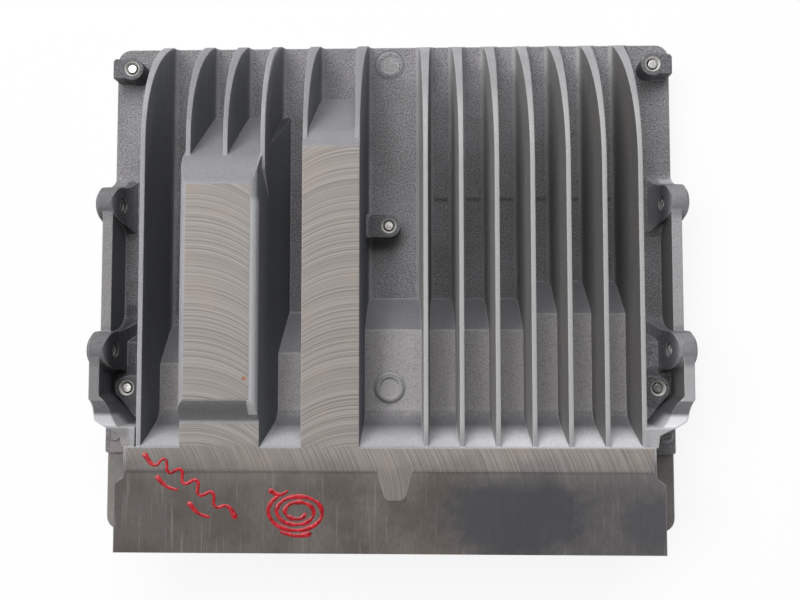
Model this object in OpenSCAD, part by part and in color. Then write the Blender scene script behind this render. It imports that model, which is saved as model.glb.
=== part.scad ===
// Engine control unit: finned die-cast housing on a shallow cover tray.
// X runs across the fins, +Y away from the connectors, +Z up through the fins.

/* [Overall] */
// Width over the flange
flange_w = 252.4; // [246:0.2:262]
// Width over the lower corner ears
ear_w = 255.4; // [254:0.2:266]
// Sideways shift of the lower corner ears
ear_dx = -1.3; // [-2:0.1:2]
// Length from the plain edge to the connector face
body_l = 219.5; // [212:0.5:228]
// Thickness of the cast walls and roofs
wall = 3; // [2.4:0.1:3.6]
// Corner radius of the plates
plate_r = 6; // [3:0.5:9]
// Length over the flange's lower ears, up from the hood's back edge
ear_l = 10; // [6:0.5:14]

/* [Cover] */
// Depth of the cover tray
cover_depth = 13; // [12:0.5:16]
// Thickness of the cover's floor
base_t = 2.5; // [2:0.1:3.2]
// Width of the cover's rim
rim_w = 5.5; // [4.5:0.25:7]
// Depth of the recessed panel under the cover
panel_d = 0.8; // [0.4:0.1:1.2]
// Width of the seal groove
seal_w = 2.2; // [1.6:0.1:2.8]
// Depth of the seal groove
seal_d = 1.2; // [0.8:0.1:1.8]

/* [Housing levels] */
// Thickness of the flange
flange_t = 3; // [2.4:0.2:4]
// Height of the fins above the flange
fin_h = 32; // [28:0.5:32.5]
// Height of the raised floor above the flange
step_h = 13; // [11:0.5:16]
// Height of the connector hood above the flange
hood_h = 33; // [32.5:0.5:36]
// Height of the capacitor block above the flange
block_h = 38.5; // [37:0.5:42]
// Length of the connector hood
hood_l = 42.25; // [40:0.25:46]
// Length of the hollow ramp up to the hood
hood_ramp_l = 14.5; // [12:0.5:18]
// Radius of the hollow at the ramp's foot
hood_ramp_r = 8; // [4:0.5:9]
// Width of the hood at its back edge
hood_w = 214.8; // [210:0.2:218]
// Width of the hood at the connector face
hood_mouth_w = 222; // [219:0.2:226]
// Length of the milled band on the hood
band_l = 8.8; // [6:0.2:11]
// Height of the milled faces above the cast skin
band_h = 0.4; // [0.2:0.1:0.8]

/* [Fins] */
// Width of a fin at its top
fin_top_w = 1.9; // [1.4:0.1:2.4]
// Draft angle of each fin side
fin_draft = 2.5; // [1.5:0.1:3]
// Fillet radius at the fin roots
fin_root_r = 3; // [1.5:0.25:3.5]
// Number of fins right of the ridge
fin_count = 7; // [5:1:7]
// Pitch of the fins right of the ridge
fin_pitch = 14.6; // [13.6:0.1:14.8]
// Place of the first fin right of the ridge
fin_x = 15.5; // [14:0.25:17]
// Place of the outermost left fin
edge_fin_x = -101.7; // [-103:0.1:-100.5]
// Radius of the fins' rising ends right of the ridge
fin_end_r = 76; // [72:1:84]
// Radius of the fins' rising ends left of the ridge
fin_end_left_r = 57; // [55:1:64]

/* [Ridge and block] */
// Left edge of the coil ridge
ridge_x = -35.2; // [-36:0.1:-34]
// Width of the coil ridge
ridge_w = 23.6; // [22:0.2:26]
// Left shoulder of the capacitor block
block_x = -84.4; // [-86:0.1:-83]
// Width of the capacitor block at its shoulders
block_w = 31.8; // [31:0.2:34]
// Rounding of the block's long edges
block_r = 3.3; // [2:0.1:5]
// Left side's draft angle on the block
block_left_draft = 4; // [2:0.5:6]
// Right side's draft angle on the block
block_right_draft = 10; // [8:0.5:15]

/* [Side walls] */
// Thickness of a side wall
side_t = 4.4; // [3.6:0.1:5]
// Height of a side wall above the flange
side_h = 14.6; // [12:0.2:16]
// Height of a side wall beside the hood
side_low_h = 21.3; // [19:0.1:24]
// Outward shift of the side wall's lower part
side_low_out = 1.75; // [0.5:0.05:2.5]
// Height of the raised pocket floor inside the wall's lower part
pocket_h = 5; // [2:0.5:7]
// Radius of the fixing tabs
tab_r = 8.2; // [7.4:0.1:9]
// Length of a fixing tab along its hole
tab_l = 10.4; // [9:0.1:12]
// Rounding of a tab's outer rim
tab_round = 4; // [2:0.1:4]
// Height of the upper fixing holes above the flange
tab_high_z = 7.4; // [6.5:0.1:8.5]
// Height of the lower fixing holes above the flange
tab_low_z = 13.5; // [12:0.1:15]
// Distance of the upper fixing holes from the plain edge
tab_high_dy = 73.75; // [70:0.25:77]
// Distance between upper and lower fixing holes
tab_spacing = 64.5; // [60:0.25:69]
// Thread core radius of the fixing holes
tab_hole_r = 2.5; // [2:0.05:3]

/* [Fasteners] */
// Distance of the outer cover screws from the middle
screw_dx = 116.4; // [115:0.1:117]
// Distance of the corner cover screws from the plain edge
screw_top_dy = 11.75; // [10.5:0.25:14]
// Distance of the lower cover screws from the hood's back edge
screw_low_dy = 22.3; // [20:0.1:25]
// Sideways place of the middle cover screw
screw_mid_x = -0.6; // [-2:0.1:1]
// Distance of the middle cover screw from the plain edge
screw_mid_dy = 83.5; // [80:0.25:87]
// Shank radius of the cover screws
screw_r = 2.4; // [2:0.05:2.6]
// Head radius of the cover screws
screw_head_r = 4.4; // [4:0.1:4.8]
// Head height of the cover screws
screw_head_h = 3.4; // [2.8:0.1:4]
// Height of the screw bosses above the flange
boss_h = 8.5; // [7:0.25:11]
// Radius of the screw bosses
boss_r = 5.1; // [4.6:0.1:5.6]
// Gap between a screw and its hole
screw_gap = 0.05; // [0.02:0.01:0.1]
// Shank radius of the board and header screws
small_screw_r = 1.5; // [1.2:0.05:1.8]

/* [Board and header] */
// Thickness of the circuit board
board_t = 1.6; // [1.2:0.1:2]
// Room between the board's top and the housing's underside
board_room = 3.6; // [3.2:0.1:4.2]
// Gap between the board and the cover's connector channel
board_gap = 2; // [1:0.25:4]
// Distance of the header's face inside the hood's mouth
header_inset = 2; // [1:0.25:3]
// Length of the header's shroud
shroud_l = 27; // [25:0.25:29]
// Wall of the header's shroud
shroud_t = 2.4; // [2:0.1:3]
// Width of the bar between the two bays
bay_bar_w = 12; // [10:0.5:14]
// Gap between the header and the castings, filled by the seal
header_gap = 1.2; // [0.8:0.1:1.6]
// Thickness of the plate that holds the contacts
carrier_t = 4; // [3:0.25:5]
// Free length of the contacts inside a bay
pin_reach = 9; // [7:0.25:11]
// Thickness of a signal contact
pin_t = 0.8; // [0.6:0.05:1]
// Pitch of the signal contacts
pin_pitch = 4.2; // [3.8:0.1:4.5]
// Number of signal contacts in a row
pin_columns = 14; // [10:1:15]
// Distance between rows of contacts
row_pitch = 6; // [5:0.25:6.5]
// Width of a power contact
blade_w = 2.8; // [2.2:0.1:3.2]
// Gap between a contact and its hole
pin_gap = 0.05; // [0.02:0.01:0.1]

/* [Electronics] */
// Side of the processor
processor_w = 24; // [18:0.5:27]
// Radius of a bulk capacitor
capacitor_r = 9.5; // [8:0.25:10]
// Height of a bulk capacitor
capacitor_h = 36; // [30:0.5:37]
// Radius of the coil's bobbin
coil_r = 7.6; // [6:0.1:7.8]
// Height of the coil
coil_h = 26; // [20:0.5:30]
// Height of a power transistor
transistor_h = 2.3; // [1.8:0.1:2.6]
// Radius of the vent plug
vent_r = 6; // [5:0.25:7]

/* [Hidden] */
$fn = 48;
curve_steps = 16;
mound_steps = 6;
sink = 0.05;

// Levels
part_z = cover_depth;
floor_z = part_z + flange_t;
fin_z = floor_z + fin_h;
step_z = floor_z + step_h;
hood_z = floor_z + hood_h;
block_z = floor_z + block_h;
side_z = floor_z + side_h;
side_low_z = floor_z + side_low_h;

// Places along the length
y_top = body_l / 2;
y_face = -body_l / 2;
hood_y = y_face + hood_l;
foot_y = hood_y + hood_ramp_l;
ear_y = hood_y + ear_l;
flange_end_y = hood_y - 7.3;
ear_slope_l = 2;
band_y = hood_y - band_l;
hood_step_y = hood_y - 12;
hood_step_l = 2.5;

// Ridge and block
ridge_end_x = ridge_x + ridge_w;
block_end_x = block_x + block_w;
ridge_milled_y = y_top - 56;
ridge_foot_y = y_top - 24;
ridge_fall_r = 14;
block_top_y = y_top - 72.25;
block_foot_y = y_top - 32;
block_fall_r = 20;
block_low_y = hood_y + 20.5;
block_hood_y = hood_y + 9.5;
mill_tab_x = 3;
mill_tab_w = 14.5;
mill_tab_end_w = 8.6;
mill_tab_cut = 1.5;
mill_tab_l = 12.2;
mill_slope_l = 1.6;
disc_h = 1;
disc_rim = 0.4;
disc_slope = 0.8;
ear_disc_r = 3.4;

// Fins: place, end radius and where the end begins to fall
block_fin_xs = [block_x + 1.6, block_x + block_w / 2 + 1.1, block_end_x + 0.8];
block_fin_y = block_top_y - 3;
fin_nose_l = 12;
fin_nose_h = 8;
hood_nose = 1;
ridge_fin_xs = [ridge_x + fin_top_w / 2, ridge_end_x - fin_top_w / 2];
right_fin_xs = [for (i = [0 : fin_count - 1]) fin_x + i * fin_pitch];
last_fin_x = right_fin_xs[fin_count - 1];
fin_right_turn_y = y_top - 61.5;
fin_left_turn_y = y_top - 50;
wide_bay_x = right_fin_xs[floor(fin_count / 2)];

// Floors between the fins: left edge, right edge, ramp's foot and top above the hood's back edge
floor_bays = [
    [edge_fin_x, block_x + block_w / 2, 50.5, 33],
    [block_x + block_w / 2, ridge_x + ridge_w / 2, 56, 37.5],
    [ridge_x + ridge_w / 2, wide_bay_x, 62, 47.5],
    [wide_bay_x, last_fin_x, 69.8, 54.5]
];

// Side walls and fixing tabs
side_x = flange_w / 2 - 0.5;
side_in_x = side_x - side_t;
side_low_x = side_x + side_low_out;
side_low_in_x = side_low_x - side_t;
side_rise_l = 4;
side_flare = 2.2;
tab_out_x = side_x + 4.2;
tab_in_x = tab_out_x - tab_l;
tab_mouth_r = tab_hole_r + 0.8;
tab_high_y = y_top - tab_high_dy;
tab_low_y = tab_high_y - tab_spacing;
tabs = [[tab_high_y, floor_z + tab_high_z], [tab_low_y, floor_z + tab_low_z]];
mound_w = 7.6;
mound_l = 8;
mound_round = 2.8;
side_start_y = tab_high_y;
side_step_y = tab_low_y + 0.9 * tab_r;
side_step_end_y = side_step_y - side_rise_l;
side_bend_y = hood_y + 18.5;
side_top_y = hood_y + 7;
side_end_y = hood_y + 8;
side_join_x = hood_w / 2 + 1;
side_corner = [side_join_x + 0.8, hood_y + 4.9];
side_knee = [side_join_x + 12.3, hood_y + 10.4];
side_outer_edge = [[side_x, side_start_y], [side_x, side_step_y], [side_low_x, side_step_end_y],
    [side_low_x, side_bend_y], side_knee, side_corner, [side_join_x, hood_y]];
side_inner_edge = [[side_join_x + 1.8, side_end_y], [side_low_in_x, side_bend_y + 1.2],
    [side_low_in_x, side_step_end_y], [side_in_x, side_step_y], [side_in_x, side_start_y]];

// Cover screws
corner_y = y_top - screw_top_dy;
low_y = hood_y + screw_low_dy;
mid_y = y_top - screw_mid_dy;
screw_places = [[-screw_dx, corner_y], [screw_dx, corner_y], [-screw_dx, low_y], [screw_dx, low_y],
    [screw_mid_x, mid_y]];
boss_z = floor_z + boss_h;
thread_r = screw_r + screw_gap;
head_hole_r = screw_head_r + 0.5;
head_drop = panel_d + 0.2;
head_seat_z = head_drop + screw_head_h;
cover_boss_r = head_hole_r + 2;
cover_hole_r = screw_r + 0.35;
boss_cone_r = screw_r + 0.75;
boss_cone_d = 1.1;
screw_tip_r = screw_r - 0.55;
screw_tip_l = 2.2;
corner_gap = 1.4;
corner_cut = 1;
corner_web = 0.86 * boss_r;
pad_run = 0.87;

// Cover
seal_inset = (rim_w - seal_w) / 2;
header_floor_y = hood_y - wall;
hood_in_x = hood_w / 2 - wall;
ear_pocket_w = ear_w / 2 - abs(ear_dx) - rim_w - hood_w / 2;

// Board
board_z = part_z - board_room - board_t;
board_top_z = board_z + board_t;
board_end_y = y_top - rim_w - 2;
board_mid_r = cover_boss_r + 1;
board_w = 2 * (min(hood_in_x, screw_dx - cover_boss_r) - board_gap);
post_r = 3.6;
small_hole_r = small_screw_r + screw_gap;
small_head_r = small_screw_r + 1.2;
small_head_h = 1.6;
small_screw_bite = board_room - 0.6;
board_screw_edge = 5;
board_screw_end = 8;
board_screw_dy = 95.75;
board_screw_dx = board_w / 2 - board_screw_edge;
board_screw_ys = [board_end_y - board_screw_end, board_end_y - board_screw_dy];
board_screws_at = [for (sx = [-1, 1]) for (y = board_screw_ys) [sx * board_screw_dx, y]];

// Header
header_w = hood_w - 2 * wall - 2 * header_gap;
header_z0 = base_t + header_gap;
header_z1 = hood_z - band_h - wall - header_gap;
header_y0 = y_face + header_inset;
shroud_end_y = header_y0 + shroud_l;
carrier_y0 = shroud_end_y - carrier_t;
bay_w = (header_w - bay_bar_w) / 2 - shroud_t;
bay_h = header_z1 - header_z0 - 2 * shroud_t;
bay_mid_x = bay_bar_w / 2 + bay_w / 2;
bay_mid_z = (header_z0 + header_z1) / 2;
key_w = 5;
key_h = 2;
foot_l = 9;
foot_w = 12;
foot_t = 3;
foot_xs = [-header_w / 2 + foot_w / 2, 0, header_w / 2 - foot_w / 2];
board_y = shroud_end_y + 0.5;
foot_screw_y = board_y + foot_l / 2;
seal_y0 = header_y0 + 6;
seal_y1 = seal_y0 + 4;
pin_tip_y = carrier_y0 - pin_reach;
pin_rows = [-1, 0, 1];
blade_columns = 2;
blade_pitch = 7;
blade_gap = 1.9;
last_blade_x = header_w / 2 - foot_w - blade_gap - blade_w / 2;
bend_first = 2.5;
bend_pitch = 2.4;

// Parts on the board
chip_h = 1.6;
pad_h = board_room - transistor_h;
capacitor_x = block_x + block_w / 2 + 1;
capacitor_pitch = 2 * capacitor_r + 4;
capacitor_ys = [for (i = [-1 : 1]) (block_top_y + block_low_y) / 2 + i * capacitor_pitch];
can_r = capacitor_r - 0.4;
sleeve_z = 0.8;
coil_x = ridge_x + ridge_w / 2;
coil_ys = [mid_y + 4, mid_y - 26];
coil_core_r = coil_r * 0.45;
coil_lip = 2;
coil_clear = 0.1;
block_room_w = 2 * capacitor_r + 4;
block_room_l = 2 * capacitor_pitch + 2 * capacitor_r + 4;
ridge_room_w = 2 * coil_r + 1.6;
vent_x = 60;
vent_y = 40;
vent_hole_r = vent_r * 0.55;
vent_lip = 1.5;
vent_lip_t = 1.4;
membrane_t = 0.3;
power_row_y = y_top - 34;
power_row_gap = 18;
transistor_w = 6.6;
transistor_l = 9.6;
power_count = 6;
power_gap = 1.6;
power_pitch = 14.6;
power_end_x = board_screw_dx - post_r - power_gap - transistor_w / 2;
power_xs = [for (i = [power_count - 1 : -1 : 0]) power_end_x - i * power_pitch];
memory_w = 8;
memory_l = 12;
supply_w = 10;
supply_l = 16;
driver_w = 10;
driver_l = 14;
bus_w = 4;
bus_l = 5;
shunt_w = 6.3;
shunt_l = 3.2;
shunt_gap = 12;
crystal_w = 5;
crystal_l = 3.2;
sensor_w = 5;
diode_w = 7;
diode_l = 6;
diode_pitch = 12;
diode_gap = 5;

// Curves

// Smooth S from one level to another
function ease_curve(y0, z0, y1, z1) =
    [for (i = [0 : curve_steps]) let (t = i / curve_steps)
        [y0 + (y1 - y0) * t, z0 + (z1 - z0) * (1 - cos(180 * t)) / 2]];

// Ramp that leaves a level floor in a hollow arc and runs straight to its top
function hollow_ramp(y0, z0, y1, z1, r) =
    let (reach = [y1 - y0, z1 - z0 - r], turn = atan2(reach[1], reach[0]) + acos(r / norm(reach)))
    concat([for (i = [0 : curve_steps]) let (a = 270 + (turn - 270) * i / curve_steps)
        [y0 + r * cos(a), z0 + r + r * sin(a)]], [[y1, z1]]);

// Arc that leaves a level top tangentially and falls to y1
function falling_arc(y0, z0, r, y1) =
    let (sweep = asin((y1 - y0) / r))
    [for (i = [0 : curve_steps]) let (a = sweep * i / curve_steps)
        [y0 + r * sin(a), z0 - r * (1 - cos(a))]];

// Ramp that leaves a level top in a rounded arc and runs straight to its foot
function falling_ramp(y0, z0, y1, z1, r) = [for (p = hollow_ramp(-y0, -z0, -y1, -z1, r)) -p];

// Hollow quarter that leaves a level floor and ends upright
function hollow_foot(y0, z0, y1, z1) =
    [for (i = [0 : mound_steps]) let (a = 90 * i / mound_steps)
        [y0 + (y1 - y0) * sin(a), z1 - (z1 - z0) * cos(a)]];

// Rounded quarter that starts upright and ends on a level top
function rounded_top(y0, z0, y1, z1) =
    [for (i = [1 : mound_steps]) let (a = 90 * i / mound_steps)
        [y1 - (y1 - y0) * cos(a), z0 + (z1 - z0) * sin(a)]];

// Corner arc about a centre from angle a0 to a1
function corner_arc(cx, cy, r, a0, a1) =
    [for (i = [0 : 6]) let (a = a0 + (a1 - a0) * i / 6) [cx + r * cos(a), cy + r * sin(a)]];

// Outline in the Y Z plane drawn out along X
module side_extrude(x0, x1) {
    translate([x0, 0, 0]) rotate([90, 0, 90]) linear_extrude(x1 - x0) children();
}

// Outline in the X Z plane drawn out along Y
module end_extrude(y0, y1) {
    translate([0, y1, 0]) rotate([90, 0, 0]) linear_extrude(y1 - y0) children();
}

module mirrored() {
    children();
    mirror([1, 0, 0]) children();
}

// Plate outline with rounded top corners and wider lower ears
module plate_outline(top_y, end_y, inset, end_r) {
    w = flange_w / 2 - inset;
    y1 = top_y - inset;
    r = max(plate_r - inset, 0.5);
    function edge(side) =
        let (e = ear_w / 2 + side * ear_dx - inset, proud = e - w)
        let (drop = inset * proud / (norm([ear_slope_l, proud]) + ear_slope_l))
        concat(corner_arc(e - end_r, end_y + end_r, end_r, -90, 0),
            [[e, ear_y - ear_slope_l - drop], [w, ear_y - drop]],
            corner_arc(w - r, y1 - r, r, 0, 90));
    right = edge(1);
    left = edge(-1);
    polygon(concat(right, [for (i = [len(left) - 1 : -1 : 0]) [-left[i][0], left[i][1]]]));
}

// Finned housing

// Cross-section of one fin with flared roots on the flange
module fin_section() {
    top = fin_top_w / 2;
    foot = top + fin_h * tan(fin_draft);
    polygon([[-top, fin_z], [top, fin_z], [foot, floor_z], [foot, part_z], [-foot, part_z],
        [-foot, floor_z]]);
    difference() {
        translate([-foot - fin_root_r, part_z]) square([2 * (foot + fin_root_r), flange_t + fin_root_r]);
        for (s = [-1, 1])
            translate([s * (foot + fin_root_r), floor_z + fin_root_r]) circle(fin_root_r + sink);
    }
}

// Side view of a fin with a sloped nose, falling in an arc to the plain edge
module fin_side(start_y, turn_y, end_r, nose_l, nose_h) {
    polygon(concat([[start_y, part_z], [start_y, fin_z - nose_h], [start_y + nose_l, fin_z]],
        falling_arc(turn_y, fin_z, end_r, y_top - sink), [[y_top - sink, part_z]]));
}

module fin(x, start_y, turn_y, end_r, nose_l, nose_h) {
    intersection() {
        translate([x, 0, 0]) end_extrude(start_y, y_top) fin_section();
        side_extrude(x - fin_pitch / 2, x + fin_pitch / 2) fin_side(start_y, turn_y, end_r, nose_l, nose_h);
    }
}

// Floor between fins: straight ramp to the raised floor, then the hollow ramp to the hood
module bay_floor(x0, x1, ramp_foot_dy, ramp_top_dy) {
    side_extrude(x0, x1) polygon(concat(
        [[hood_y + ramp_foot_dy, part_z], [hood_y + ramp_foot_dy, floor_z], [hood_y + ramp_top_dy, step_z]],
        hollow_ramp(foot_y, step_z, hood_y, hood_z - band_h, hood_ramp_r),
        [[hood_y - 1, hood_z - band_h], [hood_y - 1, part_z]]));
}

// Connector hood with its milled band, which slopes off to the cast skin, and its milled tab
module hood() {
    w = hood_w / 2;
    m = hood_mouth_w / 2;
    translate([0, 0, part_z]) linear_extrude(hood_h + flange_t - band_h)
        polygon([[-w, hood_y], [-w, hood_step_y], [-m, hood_step_y - hood_step_l], [-m, y_face],
            [m, y_face], [m, hood_step_y - hood_step_l], [w, hood_step_y], [w, hood_y]]);
    side_extrude(-w + 1, w - 1) polygon([[hood_y + sink, hood_z - wall], [hood_y + sink, hood_z],
        [band_y, hood_z], [band_y - mill_slope_l, hood_z - band_h], [band_y - mill_slope_l, hood_z - wall]]);
    translate([mill_tab_x, band_y, hood_z - wall]) linear_extrude(wall) polygon([
        [-mill_tab_w / 2, 1], [-mill_tab_w / 2, 0], [-mill_tab_end_w / 2, mill_tab_cut - mill_tab_l],
        [mill_tab_cut - mill_tab_end_w / 2, -mill_tab_l], [mill_tab_end_w / 2 - mill_tab_cut, -mill_tab_l],
        [mill_tab_end_w / 2, mill_tab_cut - mill_tab_l], [mill_tab_w / 2, 0], [mill_tab_w / 2, 1]]);
}

// Ridge over the coils, level with the milled band
module ridge() {
    lean = (hood_h + flange_t) * tan(fin_draft);
    intersection() {
        end_extrude(hood_y - 1, y_top) polygon([[ridge_x - lean, part_z], [ridge_x, hood_z],
            [ridge_end_x, hood_z], [ridge_end_x + lean, part_z]]);
        side_extrude(ridge_x - lean, ridge_end_x + lean) polygon(concat([[hood_y - 1, part_z],
            [hood_y - 1, hood_z]], falling_ramp(ridge_milled_y, hood_z, ridge_foot_y, floor_z, ridge_fall_r),
            [[ridge_foot_y, part_z]]));
    }
}

// Block over the capacitors, with rounded long edges
module block() {
    left = (block_h + flange_t) * tan(block_left_draft);
    right = (block_h + flange_t) * tan(block_right_draft);
    intersection() {
        end_extrude(hood_y - 1, y_top) polygon(concat([[block_x - left, part_z]],
            corner_arc(block_x + block_r, block_z - block_r, block_r, 180, 90),
            corner_arc(block_end_x - block_r, block_z - block_r, block_r, 90, 0),
            [[block_end_x + right, part_z]]));
        side_extrude(block_x - left, block_end_x + right) polygon(concat([[hood_y - 1, part_z],
            [hood_y - 1, hood_z]], ease_curve(block_hood_y, hood_z, block_low_y, block_z),
            falling_ramp(block_top_y, block_z, block_foot_y, floor_z, block_fall_r),
            [[block_foot_y, part_z]]));
    }
}

// Right side wall: its plan cut by its height along the length
module side_wall() {
    intersection() {
        translate([0, 0, part_z]) linear_extrude(hood_h + flange_t) polygon(concat(side_outer_edge,
            [[last_fin_x, hood_y], [last_fin_x, side_end_y]], side_inner_edge));
        side_extrude(0, side_x + tab_l) polygon(concat([[side_start_y, part_z]],
            ease_curve(side_start_y, floor_z, side_start_y - side_rise_l, side_z),
            ease_curve(side_step_y, side_z, side_step_end_y, side_low_z),
            ease_curve(side_bend_y, side_low_z, side_top_y, hood_z - 2 * band_h),
            [[hood_y, hood_z - 2 * band_h], [hood_y, part_z]]));
    }
}

// Raised floor between the wall's lower part and the outer fin
module side_pocket() {
    intersection() {
        translate([0, 0, part_z]) linear_extrude(flange_t + pocket_h)
            polygon(concat(side_outer_edge, [[last_fin_x, hood_y], [last_fin_x, side_start_y]]));
        side_extrude(0, side_x + tab_l) polygon([[side_step_y, part_z], [side_step_y, floor_z],
            [side_step_end_y, floor_z + pocket_h], [hood_y, floor_z + pocket_h], [hood_y, part_z]]);
    }
}

// Mound that carries a right fixing tab: its side view, end view and plan cut with one another
module tab_mound(y, z) {
    r = tab_r - sink;
    foot_x = tab_in_x - mound_l;
    out_x = side_x + side_flare;
    low = y - tab_r - mound_w;
    high = y + tab_r + mound_w;
    left = hollow_foot(low, floor_z, y - r, z);
    flare = hollow_foot(high, side_x, y + r, out_x);
    last = [mound_steps : -1 : 0];
    intersection() {
        side_extrude(foot_x, out_x) {
            translate([y, z]) circle(r);
            polygon(concat([[low, part_z]], left, [for (i = last) [2 * y - left[i][0], left[i][1]]],
                [[high, part_z]]));
        }
        end_extrude(low, high) polygon(concat([[foot_x, part_z]],
            hollow_foot(foot_x, floor_z, tab_in_x, z),
            rounded_top(tab_in_x, z, tab_in_x + mound_round, z + tab_r),
            [[tab_in_x + mound_round, z + tab_r + 1], [out_x, z + tab_r + 1], [out_x, part_z]]));
        translate([0, 0, part_z]) linear_extrude(z + tab_r + 1 - part_z) polygon(concat(
            [[foot_x, low], [foot_x, high]], [for (p = flare) [p[1], p[0]]],
            [for (i = last) [flare[i][1], 2 * y - flare[i][0]]]));
    }
}

// Right fixing tab: lobe with a soft outer rim on its mound
module fixing_tab(y, z) {
    lobe_l = tab_l - mound_round;
    tab_mound(y, z);
    translate([tab_in_x + mound_round, y, z]) rotate([0, 90, 0]) rotate_extrude() {
        square([tab_r, lobe_l - tab_round]);
        square([tab_r - tab_round, lobe_l]);
        translate([tab_r - tab_round, lobe_l - tab_round]) intersection() {
            circle(tab_round);
            square(tab_round);
        }
    }
}

module fixing_thread(y, z) {
    run_in = mound_l / 2;
    translate([tab_in_x - run_in, y, z]) rotate([0, 90, 0])
        cylinder(tab_l + run_in + 1, tab_hole_r, tab_hole_r);
    translate([tab_in_x - sink, y, z]) rotate([0, 90, 0])
        cylinder(tab_mouth_r - tab_hole_r, tab_mouth_r, tab_hole_r);
}

// Round boss with a straight web to the wall beside it
module screw_boss(x, y, web_x) {
    x0 = min(x, web_x);
    translate([x, y, part_z]) cylinder(boss_z - part_z, boss_r, boss_r);
    translate([x0, y - boss_r, part_z]) cube([abs(web_x - x), 2 * boss_r, boss_z - part_z]);
}

// Corner boss: its web runs out to the flange's edge with a slanted corner
module corner_boss() {
    out_x = flange_w / 2 - corner_gap;
    translate([screw_dx, corner_y, part_z]) cylinder(boss_z - part_z, boss_r, boss_r);
    translate([0, corner_y, part_z]) linear_extrude(boss_z - part_z) polygon([[screw_dx, -corner_web],
        [out_x, -corner_web], [out_x, corner_web - corner_cut], [out_x - corner_cut, corner_web],
        [screw_dx, corner_web]]);
}

// Pad that ties a lower boss to the outer fin, its edge running beside the slanted wall
module lower_pad() {
    tip = [screw_dx + boss_r / norm([1, pad_run]), low_y - boss_r * pad_run / norm([1, pad_run])];
    translate([0, 0, part_z]) linear_extrude(boss_z - part_z) polygon([
        [last_fin_x, low_y + boss_r], [screw_dx, low_y + boss_r], tip,
        [tip[0] - (tip[1] - side_end_y) * pad_run, side_end_y], [last_fin_x, side_end_y]]);
}

// Round ejector mark: a raised ring with sloped sides
module ejector_disc(x, y, z, r, h) {
    hollow_r = r * (1 - disc_rim);
    translate([x, y, z]) rotate_extrude() polygon([[0, -1], [r, -1], [r, 0], [r - disc_slope, h],
        [hollow_r + disc_slope / 2, h], [hollow_r, h / 3], [0, h / 3]]);
}

module housing_outside() {
    translate([0, 0, part_z]) linear_extrude(flange_t) plate_outline(y_top, flange_end_y, 0, 1);
    hood();
    for (bay = floor_bays) bay_floor(bay[0], bay[1], bay[2], bay[3]);
    ridge();
    block();
    for (x = [edge_fin_x, each ridge_fin_xs])
        fin(x, hood_y - 1, fin_left_turn_y, fin_end_left_r, hood_nose, hood_nose);
    for (x = block_fin_xs) fin(x, block_fin_y, fin_left_turn_y, fin_end_left_r, fin_nose_l, fin_nose_h);
    for (x = right_fin_xs) fin(x, hood_y - 1, fin_right_turn_y, fin_end_r, hood_nose, hood_nose);
    mirrored() {
        side_wall();
        side_pocket();
        for (tab = tabs) fixing_tab(tab[0], tab[1]);
        corner_boss();
        screw_boss(screw_dx, low_y, last_fin_x);
        lower_pad();
    }
    screw_boss(screw_mid_x, mid_y, ridge_end_x);
    ejector_disc(screw_mid_x, y_top - 8, floor_z, 6.2, disc_h / 2);
    ejector_disc(screw_mid_x + 0.6, foot_y + 8.3, step_z, 6.7, disc_h);
    for (side = [-1, 1]) ejector_disc(side * (ear_w / 2 - ear_disc_r - 0.8) + ear_dx,
        flange_end_y + 2.4 * ear_disc_r, floor_z, ear_disc_r, disc_h / 2);
}

// Hollows for the header, the contacts, the capacitors and the coils
module housing_inside() {
    roof_z = hood_z - band_h - wall;
    translate([-hood_in_x, y_face - 1, part_z - 1])
        cube([2 * hood_in_x, hood_l + 1 - wall, roof_z - part_z + 1]);
    for (bay = floor_bays)
        side_extrude(max(bay[0], edge_fin_x + wall), min(bay[1], last_fin_x - wall)) polygon(concat(
            [[hood_y + bay[3], part_z - 1], [hood_y + bay[3], step_z - wall]],
            hollow_ramp(foot_y - wall, step_z - wall, header_floor_y, roof_z, hood_ramp_r),
            [[header_floor_y - 1, roof_z], [header_floor_y - 1, part_z - 1]]));
    translate([capacitor_x - block_room_w / 2, capacitor_ys[1] - block_room_l / 2, part_z - 1])
        cube([block_room_w, block_room_l, block_z - wall - part_z + 1]);
    translate([coil_x - ridge_room_w / 2, header_floor_y - 1, part_z - 1])
        cube([ridge_room_w, coil_ys[0] + coil_r + 2 - header_floor_y + 1, roof_z - part_z + 1]);
}

module finned_housing() {
    color("dimgray") difference() {
        union() {
            difference() {
                housing_outside();
                housing_inside();
            }
            for (at = board_screws_at)
                translate([at[0], at[1], board_top_z]) cylinder(board_room + 1, post_r, post_r);
        }
        for (at = screw_places) {
            translate([at[0], at[1], part_z - 1]) cylinder(boss_z - part_z + 2, thread_r, thread_r);
            translate([at[0], at[1], boss_z - boss_cone_d])
                cylinder(boss_cone_d + sink, thread_r, boss_cone_r);
        }
        for (at = board_screws_at) translate([at[0], at[1], board_top_z - 1])
            cylinder(small_screw_bite + 1, small_hole_r, small_hole_r);
        mirrored() for (tab = tabs) fixing_thread(tab[0], tab[1]);
    }
}

// Cover and its fastening

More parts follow.
